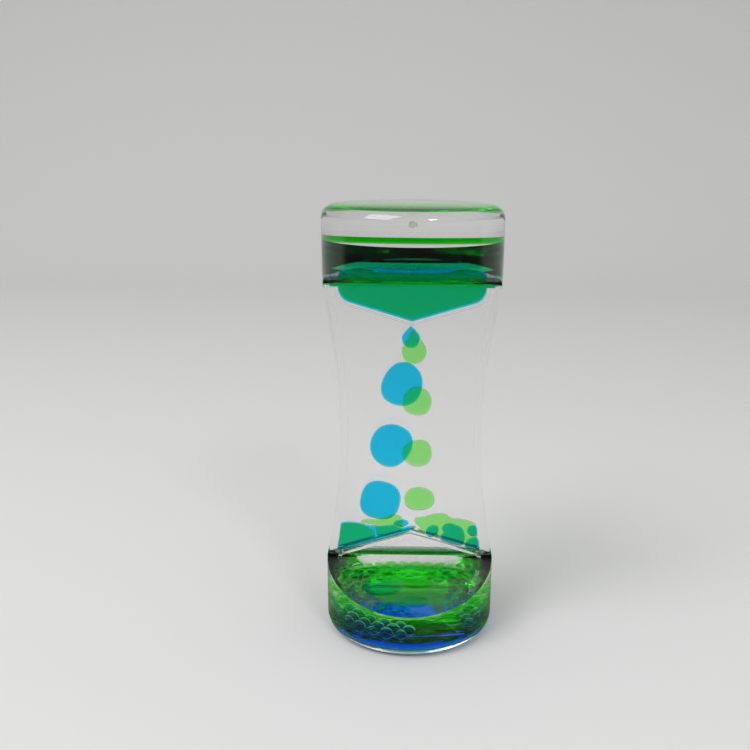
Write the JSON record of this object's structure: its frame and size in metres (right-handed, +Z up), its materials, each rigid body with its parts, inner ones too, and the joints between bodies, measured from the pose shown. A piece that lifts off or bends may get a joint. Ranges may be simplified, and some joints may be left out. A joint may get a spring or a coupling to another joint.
{
  "type": "liquid motion timer",
  "caption": "Clear hourglass shaped liquid timer with round ends and a flat waist, in which blue and green drops fall through oil onto small roofs.",
  "frame": {"origin": "middle of the flat base, on the surface it stands on", "axes": "+Z up along the body, X along the width of the flat waist, the blue chamber looks along -Y"},
  "size_m": [0.052, 0.052, 0.13],
  "materials": {
    "clear_shell": "polished clear moulding",
    "clear_plate": "clear plate, oil on both sides",
    "plug": "cured clear sealant, slightly yellow",
    "blue_liquid": "clear blue dyed liquid",
    "green_liquid": "clear green dyed liquid"
  },
  "bodies": {
    "timer": {"front_shell": "clear_shell", "rear_shell": "clear_shell", "divider_plate": "clear_plate", "upper_front_funnel": "clear_plate", "upper_rear_funnel": "clear_plate", "lower_front_funnel": "clear_plate", "lower_rear_funnel": "clear_plate", "front_fill_plug": "plug", "rear_fill_plug": "plug", "blue_reservoir": "blue_liquid", "blue_roof_pool": "blue_liquid", "blue_roof_beads": "blue_liquid", "blue_slot_drops": "blue_liquid", "blue_puddle": "blue_liquid", "blue_bubbles": "blue_liquid", "green_reservoir": "green_liquid", "green_roof_pool": "green_liquid", "green_slot_drops": "green_liquid", "green_puddle": "green_liquid", "green_bubbles": "green_liquid"},
    "blue_drop_1_body": {"blue_drop_1": "blue_liquid"},
    "blue_drop_2_body": {"blue_drop_2": "blue_liquid"},
    "blue_drop_3_body": {"blue_drop_3": "blue_liquid"},
    "blue_drop_4_body": {"blue_drop_4": "blue_liquid"},
    "green_drop_1_body": {"green_drop_1": "green_liquid"},
    "green_drop_2_body": {"green_drop_2": "green_liquid"},
    "green_drop_3_body": {"green_drop_3": "green_liquid"},
    "green_drop_4_body": {"green_drop_4": "green_liquid"}
  },
  "joints": [
    {"name": "blue_fall_1", "type": "slide", "parent": "timer", "child": "blue_drop_1_body", "axis": [-0.1718, 0, -0.9851], "range_m": [0, 0.01447]},
    {"name": "blue_fall_2", "type": "slide", "parent": "timer", "child": "blue_drop_2_body", "axis": [-0.1654, 0, -0.9862], "range_m": [0, 0.01917]},
    {"name": "blue_fall_3", "type": "slide", "parent": "timer", "child": "blue_drop_3_body", "axis": [-0.183, 0, -0.9831], "range_m": [0, 0.0181]},
    {"name": "blue_fall_4", "type": "slide", "parent": "timer", "child": "blue_drop_4_body", "axis": [0, 0, -1], "range_m": [0, 0.00401], "deforming": ["blue_drop_4"]},
    {"name": "green_fall_1", "type": "slide", "parent": "timer", "child": "green_drop_1_body", "axis": [0.0678, 0, -0.9977], "range_m": [0, 0.01628]},
    {"name": "green_fall_2", "type": "slide", "parent": "timer", "child": "green_drop_2_body", "axis": [0.0169, 0, -0.9999], "range_m": [0, 0.01636]},
    {"name": "green_fall_3", "type": "slide", "parent": "timer", "child": "green_drop_3_body", "axis": [0.0462, 0, -0.9989], "range_m": [0, 0.01495]},
    {"name": "green_fall_4", "type": "slide", "parent": "timer", "child": "green_drop_4_body", "axis": [0, 0, -1], "range_m": [0, 0.00401], "deforming": ["green_drop_4"]}
  ],
  "couplings": [
    {"joint": "blue_fall_1", "follows": "blue_fall_2", "ratio": 0.7541},
    {"joint": "blue_fall_3", "follows": "blue_fall_2", "ratio": 0.9438},
    {"joint": "blue_fall_4", "follows": "blue_fall_2", "ratio": 0.2086},
    {"joint": "green_fall_1", "follows": "green_fall_2", "ratio": 0.9945},
    {"joint": "green_fall_3", "follows": "green_fall_2", "ratio": 0.9134},
    {"joint": "green_fall_4", "follows": "green_fall_2", "ratio": 0.2445}
  ]
}
